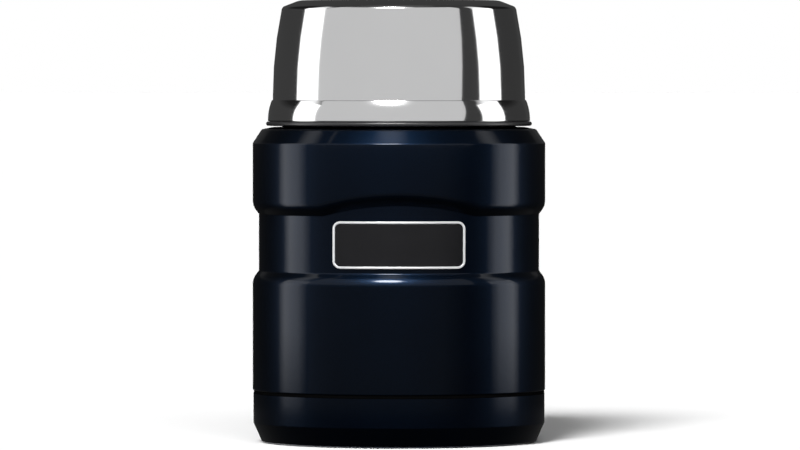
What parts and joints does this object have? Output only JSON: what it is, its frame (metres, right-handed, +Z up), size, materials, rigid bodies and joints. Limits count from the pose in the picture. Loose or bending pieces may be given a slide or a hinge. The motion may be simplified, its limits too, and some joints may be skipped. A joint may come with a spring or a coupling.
{
  "type": "insulated food jar",
  "caption": "Upright double-wall steel food jar with a banded body, a screw stopper under the lid and a screw-on steel cup lid that doubles as a bowl.",
  "frame": {"origin": "middle of the foot, on the surface the jar stands on", "axes": "+Z up along the jar's axis, -Y out of the badge, +X to the right of the badge as it is looked at"},
  "size_m": [0.094, 0.094, 0.142],
  "materials": {
    "painted_steel": "gloss midnight blue enamel",
    "base_paint": "gloss midnight blue enamel",
    "plain_steel": "satin",
    "satin_steel": "electropolished satin",
    "seal_metal": "dull",
    "foil": "bright",
    "getter_metal": "sintered",
    "badge_metal": "satin silver",
    "badge_face": "gloss black",
    "stopper_plastic": "fine moulded texture",
    "grip_rubber": "matte",
    "foam": "closed cell",
    "silicone": "matte",
    "polished_steel": "mirror polished",
    "liner_plastic": "satin black",
    "ring_plastic": "gloss black"
  },
  "bodies": {
    "jar": {"outer_shell": "painted_steel", "outer_bottom": "plain_steel", "vacuum_seal": "seal_metal", "inner_vessel": "satin_steel", "vessel_bottom": "satin_steel", "radiation_foil": "foil", "getter": "getter_metal", "getter_strap": "plain_steel", "base_cup": "base_paint", "badge_frame": "badge_metal", "badge_plate": "badge_face"},
    "seal_ring": {"stopper_gasket": "silicone"},
    "stopper": {"stopper_body": "stopper_plastic", "stopper_cap": "stopper_plastic", "stopper_grip": "grip_rubber", "stopper_foam": "foam"},
    "trim_ring": {"lid_ring": "ring_plastic"},
    "cup_lid": {"lid_shell": "polished_steel", "lid_liner": "liner_plastic"}
  },
  "joints": [
    {"name": "stopper_rise", "type": "slide", "parent": "jar", "child": "seal_ring", "axis": [0, 0, 1], "range_m": [0, 0.032]},
    {"name": "stopper_turn", "type": "hinge", "parent": "seal_ring", "child": "stopper", "pos_m": [0, 0, 0.11], "axis": [0, 0, 1], "range_deg": [0, 1440]},
    {"name": "lid_rise", "type": "slide", "parent": "stopper", "child": "trim_ring", "axis": [0, 0, 1], "range_m": [0, 0.032]},
    {"name": "lid_turn", "type": "hinge", "parent": "trim_ring", "child": "cup_lid", "pos_m": [0, 0, 0.11], "axis": [0, 0, 1], "range_deg": [0, 1440]}
  ],
  "couplings": [
    {"joint": "stopper_rise", "follows": "stopper_turn", "m_per_rad": 0.0012732},
    {"joint": "lid_rise", "follows": "lid_turn", "m_per_rad": 0.0012732}
  ]
}
